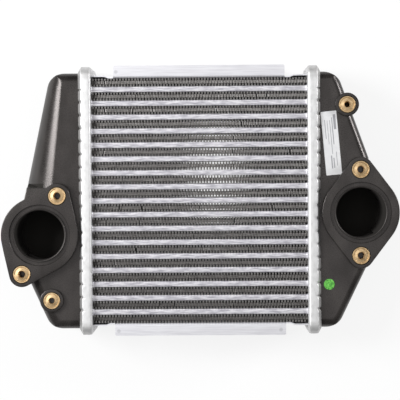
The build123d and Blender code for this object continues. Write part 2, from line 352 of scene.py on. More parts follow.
# Side plates: folded aluminium channels that close the core at its top and bottom.
# Each flange is bent up over the middle stretch only, and the bare ends step outwards.
# Three small dull marks, at the places in side_marks, show in their finish.
side_sheet = 1.3 * mm
side_bend_radius = 2.6 * mm
side_flange_half_length = 86.0 * mm
side_flange_corner = 1.5 * mm
side_slit = 0.2 * mm
side_step_start = 91.0 * mm
side_step_end = 95.0 * mm
side_step = 1.6 * mm
side_mark_radius = 2.4 * mm
side_marks = [(-83.4 * mm, 129.6 * mm), (-82.4 * mm, -131.2 * mm), (81.0 * mm, -130.6 * mm)]

side_metal = shader("side_plate_metal", (0.85, 0.85, 0.88), 0.5, 0.6)
side_haze = noise(side_metal, (26 * mm, 1.8 * mm, 2.4 * mm))
side_colour = ramp(side_metal, side_haze, [
    (0.3, (0.66, 0.655, 0.69)),
    (0.55, (0.74, 0.738, 0.77)),
    (1.0, (0.85, 0.85, 0.875)),
])


def from_axis(material, x, y):
    """Distance from an upright axis at x and y of the object's own space."""
    place = add(material, "TexCoord").outputs["Object"]
    flat = add(material, "VectorMath", {0: place}, {1: (1, 1, 0)}, operation="MULTIPLY").outputs[0]
    return add(material, "VectorMath", {0: flat}, {1: (x, y, 0)}, operation="DISTANCE").outputs["Value"]


for mark_x, mark_y in side_marks:
    away = from_axis(side_metal, mark_x, mark_y)
    share = fade(side_metal, away, side_mark_radius * 0.5, side_mark_radius, 0.55, 0.0)
    side_colour = cover(side_metal, share, (0.42, 0.42, 0.44), side_colour)
feed(side_metal, "Base Color", side_colour)
bump(side_metal, side_haze, 0.06 * mm, 0.5)


def side_channel(low, high, side):
    """Three shells of a channel: its stepped base, and a bend with its flange along each long edge."""
    base_y = min(abs(low[1]), abs(high[1]))
    tip_y = max(abs(low[1]), abs(high[1]))
    flange_end = side_flange_half_length
    half_x = np.array([flange_end, flange_end + side_slit, side_step_start, side_step_end, high[0]])
    x = np.concatenate([-half_x[::-1], half_x])
    rise = np.interp(np.abs(x), [side_step_start, side_step_end], [0, side_step])
    drawn_in = np.where(np.abs(x) > flange_end, 0, side_bend_radius)
    z0 = low[2] + drawn_in
    z1 = high[2] - drawn_in
    y0 = base_y + rise
    y1 = y0 + side_sheet
    base = np.stack([np.stack([x, y, z], -1) for y, z in ((y0, z0), (y0, z1), (y1, z1), (y1, z0))], 1)

    quarter = np.linspace(-math.pi / 2, 0, 9)
    arc = np.stack([np.sin(quarter), np.cos(quarter)], -1)
    inner_radius = side_bend_radius - side_sheet
    ends = np.linspace(0, 1, 7)
    run = flange_end - side_flange_corner * (1 - np.sin(ends * math.pi / 2))
    drop = side_flange_corner * (1 - np.cos(ends * math.pi / 2))
    x = np.concatenate([-run[::-1], run])
    tip = tip_y - np.concatenate([drop[::-1], drop])
    shells = [loft(base)]
    for edge, way in ((high[2], 1), (low[2], -1)):
        centre_y = base_y + side_bend_radius
        centre_z = edge - way * side_bend_radius
        outer_y = centre_y + side_bend_radius * arc[:, 0]
        outer_z = centre_z + way * side_bend_radius * arc[:, 1]
        inner_y = centre_y + inner_radius * arc[::-1, 0]
        inner_z = centre_z + way * inner_radius * arc[::-1, 1]
        z = np.concatenate([outer_z, [edge, edge - way * side_sheet], inner_z])
        rings = np.zeros((len(x), len(z), 3))
        rings[:, :, 0] = x[:, None]
        rings[:, :, 1] = np.concatenate([outer_y, [0, 0], inner_y])
        rings[:, len(outer_y):len(outer_y) + 2, 1] = tip[:, None]
        rings[:, :, 2] = z
        shells.append(loft(rings))
    return [(points * [1, side, 1], faces) for points, faces in shells]


for node, side in (("top_side_plate", 1), ("bottom_side_plate", -1)):
    plate = make_piece(f"folded_{node}", side_channel(*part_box(node), side), side_metal)
    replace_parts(plate, node)


# Header plates: trays pressed from aluminium sheet, brazed round the tube ends.
# Their rim is crimped over the tank's foot, with a short dip about every thirteen millimetres.
header_sheet = 1.5 * mm
header_corner = 10.0 * mm
header_bend = 3.0 * mm
crest_bend = 1.3 * mm
crest_reach = 10.5 * mm
flap_angle = math.radians(60)
flap_length = 5.6 * mm
dip_pitch = 13.05 * mm
dip_width = 1.3 * mm
dip_pull = 0.9 * mm
dip_sink = 1.3 * mm
dip_phase = 5.2 * mm
dip_end = 112.0 * mm
dip_start = 7.5 * mm
dip_run = 2.5 * mm
sink_run = 2.0 * mm
header_base = 9.6 * mm
# Each greying has its axis, where it starts, where it is full and how strong it is there. Along X it is
# painted shade on the crimped flap; along Y the tray grows darker towards its ends.
header_shade_and_greying = [("X", 118.8 * mm, 119.4 * mm, 0.97), ("Y", 121 * mm, 124 * mm, 0.4)]

header_metal = shader("header_plate_metal", (0.9, 0.9, 0.91), 0.5, 0.6)
header_haze = noise(header_metal, (4 * mm, 7 * mm, 5 * mm), 5.0)
header_colour = ramp(header_metal, header_haze, [
    (0.25, (0.62, 0.62, 0.62)),
    (0.5, (0.76, 0.758, 0.76)),
    (1.0, (0.89, 0.89, 0.895)),
])
header_axes = axes(header_metal)
# Painted shade on the crimped flap, and darkening towards the tray's ends.
for axis, start, full, greyest in header_shade_and_greying:
    reach = calculate(header_metal, "ABSOLUTE", header_axes[axis])
    share = fade(header_metal, reach, start, full, 0.0, greyest)
    header_colour = cover(header_metal, share, (0.42, 0.415, 0.41), header_colour)
feed(header_metal, "Base Color", header_colour)
bump(header_metal, noise(header_metal, (1.2 * mm, 1.2 * mm, 1.2 * mm)), 0.08 * mm, 0.5)


def fill_in(path, outward, spacing):
    """Closed path with more points on its long straight runs, whose directions are square to the run."""
    following = np.roll(path, -1, 0)
    step = following - path
    length = np.linalg.norm(step, axis=1)
    parts = np.maximum(1, np.ceil(length / spacing).astype(int))
    owner = np.repeat(np.arange(len(path)), parts)
    place = np.arange(len(owner)) - np.repeat(np.cumsum(parts) - parts, parts)
    share = (place / parts[owner])[:, None]
    square = np.stack([step[:, 1], -step[:, 0]], -1) / np.maximum(length, 1e-9)[:, None]
    direction = np.where(place[:, None] == 0, outward[owner], square[owner])
    return path[owner] + share * step[owner], direction


def offset(line, distance):
    """Line drawn parallel to another, to the right of its direction."""
    along = np.gradient(line, axis=0)
    along /= np.linalg.norm(along, axis=1)[:, None]
    return line + distance * np.stack([along[:, 1], -along[:, 0]], -1)


def header_tray(low, high, side):
    """Shell of a tray: a bent profile (distance along X, inset) carried round its rounded outline.

    Each dip moves the rim by a bell curve: e to the power of minus the squared share of its width.
    """
    face = min(abs(low[0]), abs(high[0]))
    half_y = high[1] - header_corner
    z0 = low[2] + header_corner
    z1 = high[2] - header_corner
    corners = [(y, z, header_corner) for y in (-half_y, half_y) for z in (z0, z1)]
    path, outward = fill_in(*hull(corners, turn(56)), 1.0 * mm)

    bend = np.linspace(0, math.pi / 2, 7)
    crest = np.linspace(0, flap_angle, 6)
    crest_x = face + crest_reach - crest_bend
    line = np.concatenate([
        [(face, header_base), (face, 6 * mm)],
        np.stack([face + header_bend * (1 - np.cos(bend)), header_bend * (1 - np.sin(bend))], -1),
        [(face + 6 * mm, 0)],
        np.stack([crest_x + crest_bend * np.sin(crest), crest_bend * (1 - np.cos(crest))], -1),
        [(crest_x + crest_bend * math.sin(flap_angle) + flap_length * math.cos(flap_angle),
          crest_bend * (1 - math.cos(flap_angle)) + flap_length * math.sin(flap_angle))],
    ])
    inner = offset(line, -header_sheet * 0.8)
    profile = np.concatenate([line, inner[::-1]])
    held = np.clip((profile[:, 0] - face - dip_start) / dip_run, 0, 1)
    sunk = np.clip((profile[:, 0] - crest_x) / sink_run, 0, 1)

    place = (path[:, 0] + dip_phase + dip_pitch / 2) % dip_pitch - dip_pitch / 2
    on_long_edge = (np.abs(path[:, 0]) < dip_end) & (np.abs(outward[:, 1]) > 0.99)
    dip = np.exp(-(place / dip_width) ** 2) * on_long_edge
    x = profile[:, :1] - dip_pull * held[:, None] * dip
    inset = profile[:, 1:] + dip_sink * sunk[:, None] * dip
    rings = np.zeros((len(profile), len(path), 3))
    rings[:, :, 0] = x * side
    rings[:, :, 1:] = path[None] - outward[None] * inset[:, :, None]
    return loft(rings)


for node, side in (("left_header_plate", -1), ("right_header_plate", 1)):
    tray = make_piece(f"crimped_{node}", [header_tray(*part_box(node), side)], header_metal)
    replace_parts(tray, node)


# Gaskets and turbulators: a moulded rubber ring in each tray, and a folded sheet in each tube.
# They are hidden inside the cooler, so their solids stay and only get their finish.
gasket_rubber = shader("gasket_rubber", (0.02, 0.02, 0.02), 0.7)
bump(gasket_rubber, noise(gasket_rubber, (0.8 * mm, 0.8 * mm, 0.8 * mm)), 0.05 * mm, 0.6)
turbulator_metal = shader("turbulator_sheet", (0.5, 0.5, 0.5), 0.4, 1.0)
bump(turbulator_metal, noise(turbulator_metal, (8 * mm, 1 * mm, 1 * mm)), 0.05 * mm, 0.5)


def finish_solid(node, material):
    """Give a solid that stays its finish."""
    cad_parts[node].material_slots[0].material = material


for node in ("left_tank_gasket", "right_tank_gasket"):
    finish_solid(node, gasket_rubber)
finish_solid("turbulators", turbulator_metal)


# Tanks: injection moulded from black glass-filled nylon, with walls three millimetres thick.
# A foot all round is clamped under the header plate's rim, and a flange for the air pipe stands on the
# port. The two differ: the left one's front edge is rounded more and more towards a notch, darkened by
# painted shade.
tank_wall = 3.0 * mm
tank_half_length = 129.8 * mm
tank_back = 5.2 * mm
tank_face = 68.8 * mm
foot_start = 111.9 * mm
foot_top = 118.4 * mm
foot_half_length = 133.3 * mm
foot_low = 1.7 * mm
foot_high = 72.3 * mm
foot_corner = 8.3 * mm
plan_corner = 20.0 * mm
apex_corner = 24.0 * mm
end_edge_radius = 9.0 * mm
back_edge_radius = 3.0 * mm
back_slope = 14.0 / 73.5
parting_height = 39.0 * mm
end_lean = 0.045
shoulder_lean = 0.15
notch_width = 4.0 * mm
notch_depth = 13.0 * mm
notch_bottom = 36.0 * mm
notch_reach = 20.0 * mm
sharp_edge = 0.7 * mm
port_face = 77.94 * mm
port_plate_low = 66.0 * mm
port_bore = 24.8 * mm
bore_clearance = 0.6 * mm
port_lip = 26.7 * mm
groove_radius = 30.3 * mm
groove_floor = 75.2 * mm
ring_radius = 38.6 * mm
lobe_radius = 12.7 * mm
insert_spacing = 86.0 * mm
port_pocket = 9.35 * mm
port_pocket_floor = 67.0 * mm
neck_radius = 31.0 * mm
neck_bottom = 15.0 * mm
neck_bevel = 8.0 * mm
neck_middle = (port_bore + neck_radius) / 2
face_hole = neck_middle - 1.0 * mm
bore_floor = 21.0 * mm
shoulder_inset = 5.2 * mm
lobe_post_radius = 11.0 * mm
lobe_post_low = 38.0 * mm
boss_radius = 11.7 * mm
boss_face = 72.95 * mm
boss_low = 26.0 * mm
boss_pocket = 8.95 * mm
boss_pocket_floor = 59.0 * mm
# Below these heights and inside these radii, shade is painted into each port and onto its lip.
shade_full = 73.0 * mm
shade_end = 79.0 * mm
lip_shade_full = port_bore + 1.3 * mm
lip_shade_end = port_bore + 2.0 * mm
matt_full = 56.0 * mm
matt_end = 64.0 * mm
# Within these bounds shade is painted into the left shoulder's notch.
notch_bounds = [("X", "LESS_THAN", -157.5 * mm), ("Y", "GREATER_THAN", 13.4 * mm),
                ("Y", "LESS_THAN", 17.8 * mm), ("Z", "LESS_THAN", 70.0 * mm)]

# Slants, creases and tilts are in degrees. Places are those of a right tank, and side mirrors them.
left_tank = {
    "side": -1, "top_reach": 32.6 * mm, "top_slant": 13.0, "bottom_reach": 32.0 * mm, "bottom_slant": 24.5,
    "crease": 13.0, "bottom_edge_radius": 11.5 * mm, "edge_radius": 19.0 * mm, "port_edge_radius": 38.5 * mm,
    "port": (160.5 * mm, -33.6 * mm), "tilt": 24.7, "round_stop": 47.3 * mm, "boss": (149.2 * mm, -99.7 * mm)}
right_tank = {
    "side": 1, "top_reach": 19.8 * mm, "top_slant": 20.0, "bottom_reach": 19.3 * mm, "bottom_slant": 25.9,
    "crease": 0.0, "bottom_edge_radius": 8.0 * mm, "edge_radius": 8.0 * mm, "port_edge_radius": 8.0 * mm,
    "port": (160.9 * mm, -13.1 * mm), "tilt": 0.0, "round_stop": 54.0 * mm, "boss": (148.2 * mm, 95.1 * mm)}

tank_nylon = shader("black_glass_filled_nylon", (0.02, 0.018, 0.017), 0.3)
tank_nylon.node_tree.nodes["Principled BSDF"].inputs["Specular IOR Level"].default_value = 0.52
tank_nylon.node_tree.nodes["Principled BSDF"].inputs["Specular Tint"].default_value = (1.0, 0.93, 0.91, 1)
tank_grain = noise(tank_nylon, (1.1 * mm, 1.1 * mm, 1.1 * mm), 4.0)
tank_cloud = noise(tank_nylon, (16 * mm, 34 * mm, 16 * mm))
tank_tone = ramp(tank_nylon, tank_cloud, [
    (0.3, (0.009, 0.008, 0.007)),
    (0.5, (0.019, 0.017, 0.016)),
    (0.7, (0.032, 0.029, 0.027)),
])
# Shade is painted inside the ports and in the left shoulder's notch, where the nylon is also dull; it is
# duller low on its walls.
tank_axes = axes(tank_nylon)
in_port = 0.0
for tank in (left_tank, right_tank):
    away = from_axis(tank_nylon, tank["side"] * tank["port"][0], tank["port"][1])
    found = fade(tank_nylon, away, lip_shade_full, lip_shade_end, 1.0, 0.0)
    in_port = calculate(tank_nylon, "ADD", found, in_port)
in_notch = 1.0
for axis, way, limit in notch_bounds:
    found = calculate(tank_nylon, way, tank_axes[axis], limit)
    in_notch = calculate(tank_nylon, "MULTIPLY", found, in_notch)
painted_shade = fade(tank_nylon, tank_axes["Z"], shade_full, shade_end, 1.0, 0.0)
painted_shade = calculate(tank_nylon, "MULTIPLY", painted_shade, in_port)
painted_shade = calculate(tank_nylon, "MAXIMUM", painted_shade, in_notch)
# Painted shade: a flat dark colour inside the ports and in the notch.
feed(tank_nylon, "Base Color", cover(tank_nylon, painted_shade, (0.018, 0.017, 0.015), tank_tone))
tank_gloss = fade(tank_nylon, tank_grain, 0.0, 1.0, 0.2, 0.36)
tank_matt = fade(tank_nylon, tank_axes["Z"], matt_full, matt_end, 0.1, 0.0)
tank_gloss = calculate(tank_nylon, "ADD", tank_gloss, tank_matt)
feed(tank_nylon, "Roughness", calculate(tank_nylon, "ADD", tank_gloss, painted_shade))
bump(tank_nylon, tank_grain, 0.04 * mm, 0.5)


def plan_corners(tank, inset):
    """Corners of a tank's outline drawn in by an inset: bottom, apex and top, on its outboard side."""
    top = math.radians(tank["top_slant"])
    bottom = math.radians(tank["bottom_slant"])
    half = tank_half_length - inset
    top_x = foot_top + tank["top_reach"] - inset * (1 - math.sin(top)) / math.cos(top)
    bottom_x = foot_top + tank["bottom_reach"] - inset * (1 - math.sin(bottom)) / math.cos(bottom)
    spread = math.tan(top) + math.tan(bottom)
    apex_y = (top_x - bottom_x + half * (math.tan(top) - math.tan(bottom))) / spread
    apex_x = top_x + (half - apex_y) * math.tan(top)
    return (bottom_x, -half), (apex_x, apex_y), (top_x, half)


def tank_path(tank):
    """Outline of a tank's body with its outward directions: a string round three circles and the foot.

    Where it would cross the port's bore it is pushed out into the neck's wall.
    """
    low_corner, _, high_corner = plan_corners(tank, plan_corner)
    _, apex, _ = plan_corners(tank, apex_corner)
    circles = [(*low_corner, plan_corner), (*apex, apex_corner), (*high_corner, plan_corner)]
    path, outward = hull(circles, np.radians(np.linspace(-90, 90, 121)))
    path = np.concatenate([[(foot_start, -tank_half_length)], path, [(foot_start, tank_half_length)]])
    outward = np.concatenate([[(0, -1)], outward, [(0, 1)]])
    path, outward = fill_in(path, outward, 1.0 * mm)
    away = path - np.array(tank["port"])
    distance = np.linalg.norm(away, axis=1)[:, None]
    pushed = np.array(tank["port"]) + away / distance * neck_middle
    return np.where(distance < neck_middle, pushed, path), outward


def clear_of_bore(tank, points):
    """Points of which those that would stand in the port's bore are moved straight out from its axis."""
    away = points - np.array(tank["port"])
    distance = np.linalg.norm(away, axis=1)[:, None]
    return np.array(tank["port"]) + away / distance * np.maximum(distance, port_bore + bore_clearance)


def edge_form(tank, path, outward):
    """Radius of the front edge along the outline, the angle at which it meets the face, and the wall's lean.

    The radius grows along the wall above the port and is next to none beside the port.
    """
    slant = np.where(outward[:, 1] > 0, tank["top_slant"], tank["bottom_slant"])
    least = np.sin(np.radians(slant))
    share = np.clip((np.abs(outward[:, 1]) - least) / (1 - least), 0, 1)
    share = share * share * (3 - 2 * share)
    above = outward[:, 1] > 0
    grown = (tank_half_length - path[:, 1]) / (tank_half_length - tank["port"][1] - tank["round_stop"])
    growth = tank["port_edge_radius"] - tank["edge_radius"]
    radius = tank["edge_radius"] + growth * np.clip(grown, 0, 1) * above
    radius = np.where(above, radius, tank["bottom_edge_radius"])
    by_port = np.abs(path[:, 1] - tank["port"][1]) < tank["round_stop"]
    radius = np.where(by_port | (path[:, 0] < foot_top), sharp_edge, radius)
    crease = np.radians(tank["crease"]) * above * ~by_port
    lean = end_lean * share + shoulder_lean * (by_port & above)
    return radius, crease, lean


def meet_end(tank, outward, inset, height, front, wall):
    """Inset where the long wall's rounding meets that of the tank's end, round the corner between them.

    Each rounding runs straight on. From a point of the corner's circle, the way in to it is its own inset
    less the circle's distance from its wall, divided by the cosine of the angle between them.
    Both count by the fourth root of the sum of their fourth powers, so the further one decides.
    """
    corner = plan_corner - wall
    end_radius = end_edge_radius - wall
    slant = np.radians(np.where(outward[:, 1] > 0, tank["top_slant"], tank["bottom_slant"]))
    to_end = np.maximum(np.abs(outward[:, 1]), 0.2)
    to_wall = np.maximum(outward[:, 0] * np.cos(slant) + np.abs(outward[:, 1]) * np.sin(slant), 0.2)
    risen = np.clip(height - (front - end_radius), 0, end_radius)
    end_inset = end_radius - np.sqrt(np.maximum(end_radius ** 2 - risen ** 2, 0))
    by_wall = np.maximum(inset - corner * (1 - to_wall), 0) / to_wall
    by_end = np.maximum(end_inset - corner * (1 - to_end), 0) / to_end
    return np.where(np.abs(outward[:, 1]) > 0.1, (by_wall ** 4 + by_end ** 4) ** 0.25, inset)


def flat_face(loops, height, holes):
    """Flat face inside an outer loop and round holes (x, y, radius).

    It is made of constrained triangles whose middles are in no hole.
    """
    points = np.concatenate(loops)
    edges = []
    start = 0
    for loop in loops:
        index = np.arange(len(loop))
        edges += (np.stack([index, np.roll(index, -1)], -1) + start).tolist()
        start += len(loop)
    found = delaunay_2d_cdt([Vector(point) for point in points], edges, [], 1, 1e-9)
    flat = np.array([tuple(point) for point in found[0]])
    triangles = np.array(found[2])
    middle = flat[triangles].mean(1)
    kept = np.ones(len(triangles), bool)
    for x, y, radius in holes:
        kept &= np.hypot(middle[:, 0] - x, middle[:, 1] - y) > radius * 0.999
    return np.column_stack([flat, np.full(len(flat), height)]), [triangles[kept]]


def ring(centre, radius, steps=72):
    """Points of a circle."""
    angle = turn(steps)
    return np.stack([centre[0] + radius * np.cos(angle), centre[1] + radius * np.sin(angle)], -1)


def stack(loops, heights):
    """Skin over flat loops of equally many points at their heights, open at both ends."""
    rings = np.array([np.column_stack([loop, np.broadcast_to(height, len(loop))])
                      for loop, height in zip(loops, heights)])
    points, faces = loft(rings)
    return points, faces[:1]


def join(*shells):
    """One shell from several open ones that meet at their edges."""
    starts = np.cumsum([0] + [len(shell[0]) for shell in shells[:-1]])
    faces = [np.asarray(block) + start for start, shell in zip(starts, shells) for block in shell[1]]
    return np.concatenate([shell[0] for shell in shells]), faces


def body_skin(tank, wall):
    """Skin of a tank's body drawn in by a wall: back, wall, rounded front edge and face with its hole.

    Along the edge the inset is the radius times one minus the cosine, and the height follows the sine.
    Above its parting line the wall leans in by its draft.
    """
    path, outward = tank_path(tank)
    radius, crease, lean = edge_form(tank, path, outward)
    radius = np.maximum(radius - wall, sharp_edge)
    back_radius = back_edge_radius - wall * 0.6
    slope = tank_back + wall + (path[:, 0] - foot_top) * back_slope
    front = tank_face - wall
    quarter = np.linspace(0, math.pi / 2, 13)
    insets = [wall + back_radius * (1 - math.sin(a)) for a in quarter[::4]]
    heights = [slope + back_radius * (1 - math.cos(a)) for a in quarter[::4]]
    turned_by = (math.pi / 2 - crease) / (math.pi / 2)
    edge_heights = [front - radius * (np.cos(crease) - np.sin(a * turned_by)) for a in quarter]
    rounding = [radius * (1 - np.cos(a * turned_by)) for a in quarter]
    insets += [wall] + [wall + meet_end(tank, outward, inset, height, front, wall)
                        for inset, height in zip(rounding, edge_heights)]
    heights += [np.minimum(parting_height, edge_heights[0] - 1.0 * mm)] + edge_heights
    insets += [insets[-1] + 0.4 * mm]
    heights += [np.full(len(path), front)]
    insets = [inset + lean * np.maximum(height - parting_height, 0) for inset, height in zip(insets, heights)]
    past_port = path[:, 1] - tank["port"][1] - tank["round_stop"]
    by_notch = (past_port > 0) & (past_port < notch_width) & (path[:, 0] > foot_top + notch_reach)
    by_notch &= tank["crease"] > 0
    insets = [np.where(by_notch & (height > notch_bottom), np.maximum(inset, notch_depth), inset)
              for inset, height in zip(insets, heights)]
    loops = [clear_of_bore(tank, path - outward * np.reshape(inset, (-1, 1))) for inset in insets]
    face = flat_face([loops[-1], ring(tank["port"], face_hole)], front, [(*tank["port"], face_hole)])
    back = (np.column_stack([loops[0], heights[0]]), [np.arange(len(path))[None]])
    return [back, stack(loops, heights), face]


def turned(profile, centre, steps, closed=False):
    """Profile of (radius, height) turned round an upright axis, with a disc at both ends unless closed."""
    rings = np.array([np.column_stack([ring(centre, radius, steps), np.full(steps, height)])
                      for radius, height in profile])
    return loft(rings, closed)


def port_neck(tank):
    """Wall of the port: bore, lip, groove floor and outside.

    It stops at the face where the tank's hollow opens in.
    """
    centre = np.array(tank["port"])
    angle = turn(120)
    lip = 1.3 * mm
    curve = np.linspace(0, math.pi / 2, 4)
    upper = [(neck_radius, groove_floor), (port_lip, groove_floor), (port_lip, port_face - 0.4 * mm),
             (port_lip - 0.4 * mm, port_face)]
    upper += [(port_bore + lip * (1 - math.sin(a)), port_face - lip * (1 - math.cos(a))) for a in curve]
    radii = np.array([neck_radius] + [r for r, z in upper] + [port_bore])
    heights = np.array([0] + [z for r, z in upper] + [0])
    spot = centre + neck_radius * np.stack([np.cos(angle), np.sin(angle)], -1)
    top = math.radians(tank["top_slant"])
    bottom = math.radians(tank["bottom_slant"])
    high = foot_top + tank["top_reach"] + (tank_half_length - spot[:, 1]) * math.tan(top)
    low = foot_top + tank["bottom_reach"] + (tank_half_length + spot[:, 1]) * math.tan(bottom)
    inside = spot[:, 0] < np.minimum(high, low) - tank_wall
    foot = np.where(inside, tank_face - tank_wall, neck_bottom + neck_bevel)
    z = np.repeat(heights[:, None], len(angle), 1)
    z[0] = foot
    z[-1] = foot
    x = centre[0] + radii[:, None] * np.cos(angle)
    y = centre[1] + radii[:, None] * np.sin(angle)
    rings = np.dstack([x, y, z])
    return loft(rings, closed=True)


def insert_spots(tank):
    """Places of the two threaded bushes, the one nearer the core first."""
    tilt = math.radians(tank["tilt"])
    way = np.array([-math.sin(tilt), math.cos(tilt)]) * insert_spacing / 2
    return [np.array(tank["port"]) + way, np.array(tank["port"]) - way]


def flange_outline(tank):
    """Outline of the flange with its directions, seen from a point inside it in every direction.

    The distance is that to a string round the port's ring and both lobes.
    On the left tank it is the further of that and the shoulder's straight sides.
    """
    spots = insert_spots(tank)
    circles = [(*tank["port"], ring_radius), (*spots[0], lobe_radius), (*spots[1], lobe_radius)]
    path, outward = hull(circles, turn(240))
    if tank["tilt"] == 0:
        return fill_in(path, outward, 3.0 * mm)
    seen_from = np.array([tank["port"][0], tank["port"][1] + ring_radius * 0.85])
    angle = turn(480)
    ray = np.stack([np.cos(angle), np.sin(angle)], -1)
    slant = math.radians(tank["top_slant"])
    top_x = foot_top + tank["top_reach"] - shoulder_inset
    wall_x = top_x + (tank_half_length - seen_from[1]) * math.tan(slant)
    sides = np.array([(-1, 0), (0, 1), (0, -1), (math.cos(slant), math.sin(slant))])
    reach = np.array([seen_from[0] - spots[0][0], tank["port"][1] + tank["round_stop"] - seen_from[1],
                      seen_from[1] - tank["port"][1], (wall_x - seen_from[0]) * math.cos(slant)])
    string = np.einsum("ij,ij->i", path - seen_from, outward)
    distance = np.zeros(len(angle))
    for directions, spans in ((outward, string), (sides, reach)):
        facing = ray @ directions.T
        exits = np.where(facing > 1e-6, spans / np.maximum(facing, 1e-6), np.inf)
        distance = np.maximum(distance, exits.min(1))
    path = seen_from + ray * distance[:, None]
    along = np.roll(path, -1, 0) - np.roll(path, 1, 0)
    along /= np.linalg.norm(along, axis=1)[:, None]
    return path, np.stack([along[:, 1], -along[:, 0]], -1)


def flange_plate(tank):
    """Shell of the flange: rounded outer edge, groove hole right through, and two pockets for the bushes."""
    path, outward = flange_outline(tank)
    quarter = np.linspace(0, math.pi / 2, 5)
    insets = np.concatenate([[sharp_edge, 0], sharp_edge * (1 - np.cos(quarter))])
    heights = np.concatenate([[port_plate_low, port_plate_low + sharp_edge],
                              port_face - sharp_edge * (1 - np.sin(quarter))])
    loops = [path - outward * inset for inset in insets]
    port_hole = (*tank["port"], groove_radius)
    pocket_holes = [(*spot, port_pocket) for spot in insert_spots(tank)]
    shells = [stack(loops, heights)]
    chamfer_radius = groove_radius + 0.4 * mm
    groove = ring(tank["port"], groove_radius, 96)
    chamfer = ring(tank["port"], chamfer_radius, 96)
    shells.append(stack([groove, groove, chamfer], [port_plate_low, port_face - 0.4 * mm, port_face]))
    pockets = [ring(spot, port_pocket, 48) for spot in insert_spots(tank)]
    wide_hole = (*tank["port"], chamfer_radius)
    shells.append(flat_face([loops[-1], chamfer, *pockets], port_face, [wide_hole, *pocket_holes]))
    shells.append(flat_face([loops[0], groove], port_plate_low, [port_hole]))
    for pocket in pockets:
        shells.append(stack([pocket, pocket], [port_face, port_pocket_floor]))
        shells.append((np.column_stack([pocket, np.full(len(pocket), port_pocket_floor)]),
                       [np.arange(len(pocket))[None]]))
    return join(*shells)


def foot_block():
    """Foot that lies under the crimped rim: a block with the tray's rounded outline."""
    half_y = foot_half_length - foot_corner
    corners = [(y, z, foot_corner) for y in (-half_y, half_y)
               for z in (foot_low + foot_corner, foot_high - foot_corner)]
    path, _ = hull(corners, turn(48))
    rings = np.array([np.column_stack([np.full(len(path), x), path]) for x in (foot_start, foot_top)])
    return loft(rings)


def boss(tank):
    """Post of the mounting boss, with a rounded rim and a pocket for its bush."""
    rim = 0.4 * mm
    profile = [(boss_radius, boss_low), (boss_radius, boss_face - rim),
               (boss_radius - rim * 0.3, boss_face - rim * 0.3), (boss_radius - rim, boss_face),
               (boss_pocket, boss_face), (boss_pocket, boss_pocket_floor)]
    return turned(profile, tank["boss"], 56)


def cup_bottom(tank):
    """Closed bottom of the port's neck below the bore."""
    wide = neck_bottom + neck_bevel
    top = wide + 0.5 * mm
    profile = [(neck_radius - neck_bevel, neck_bottom), (neck_radius, wide), (neck_radius, top),
               (port_bore, top), (port_bore, bore_floor)]
    return turned(profile, tank["port"], 120)


for node, tank in (("left_tank", left_tank), ("right_tank", right_tank)):
    hole = ring(tank["port"], face_hole)
    rim = stack([hole, hole], [tank_face, tank_face - tank_wall])
    shells = [join(*body_skin(tank, 0.0), *body_skin(tank, tank_wall), rim)]
    shells += [foot_block(), port_neck(tank), flange_plate(tank), boss(tank), cup_bottom(tank)]
    if tank is left_tank:
        post = [(lobe_post_radius, lobe_post_low), (lobe_post_radius, port_plate_low + 0.5 * mm)]
        shells.append(turned(post, insert_spots(tank)[1], 48))
    shells = [(points * [tank["side"], 1, 1], faces) for points, faces in shells]
    piece = make_piece(f"moulded_{node}", shells, tank_nylon)
    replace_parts(piece, node)


# Threaded bushes: turned from brass and pressed into the mouldings, four in the port flanges and two in
# the bosses. Each has a chamfered rim, a shallow groove and a domed collar round its thread.
bush_chamfer = 0.5 * mm
bush_length = 10.5 * mm
thread_count = 8
thread_start = 3.0 * mm
thread_pitch = 0.9 * mm
port_bush_radius = 8.75 * mm
port_thread = 3.3 * mm
mount_bush_radius = 8.4 * mm
mount_thread = 2.7 * mm
port_bush_face = 78.0 * mm
mount_bush_face = 73.0 * mm

brass = shader("turned_brass", (0.7, 0.5, 0.28), 0.52, 0.9)
brass_tarnish = noise(brass, (3 * mm, 3 * mm, 3 * mm))
feed(brass, "Base Color", ramp(brass, brass_tarnish, [
    (0.3, (0.49, 0.34, 0.18)),
    (0.6, (0.67, 0.49, 0.28)),
    (1.0, (0.83, 0.68, 0.45)),
]))
bump(brass, noise(brass, (0.5 * mm, 0.5 * mm, 3 * mm)), 0.02 * mm, 0.6)


def bush(centre, face, radius, thread):
    """Shell of a bush: its profile of (radius, height) runs over rim, groove, domed collar and thread."""
    half_turns = np.arange(2 * thread_count)
    root = thread + half_turns % 2 * thread_pitch / 2
    threads = np.stack([root, face - thread_start - half_turns * thread_pitch / 2], -1)
    profile = np.concatenate([
        [(radius, face - bush_length), (radius, face - bush_chamfer), (radius - bush_chamfer, face)],
        [(radius - 1.3 * mm, face), (radius - 1.8 * mm, face - 0.7 * mm)],
        [(radius - 2.6 * mm, face - 0.6 * mm)],
        [(thread + 1.6 * mm, face - 0.2 * mm), (thread + 0.7 * mm, face), (thread, face - 0.9 * mm)],
        threads,
        [(thread, face - bush_length)],
    ])
    return turned(profile, centre, 48, closed=True)


port_bushes = []
mount_bushes = []
for tank in (left_tank, right_tank):
    side = [tank["side"], 1, 1]
    for spot in insert_spots(tank):
        points, faces = bush(spot, port_bush_face, port_bush_radius, port_thread)
        port_bushes.append((points * side, faces))
    points, faces = bush(tank["boss"], mount_bush_face, mount_bush_radius, mount_thread)
    mount_bushes.append((points * side, faces))
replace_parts(make_piece("port_bushes", port_bushes, brass), "port_flange_inserts")
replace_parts(make_piece("mounting_bushes", mount_bushes, brass), "mounting_inserts")


# Label: a white polyester film stuck to the right tank's face, with plain grey rules and bars.
# Its surface is very slightly wavy, as film is on a moulding.
label_middle = (132.3 * mm, 56.6 * mm)
label_size = (15.8 * mm, 64.0 * mm)
label_tilt = math.radians(5.1)
label_height = 68.86 * mm
label_film = 0.12 * mm
label_corner = 0.6 * mm
label_wave = 0.03 * mm
label_wave_length = 9.0 * mm

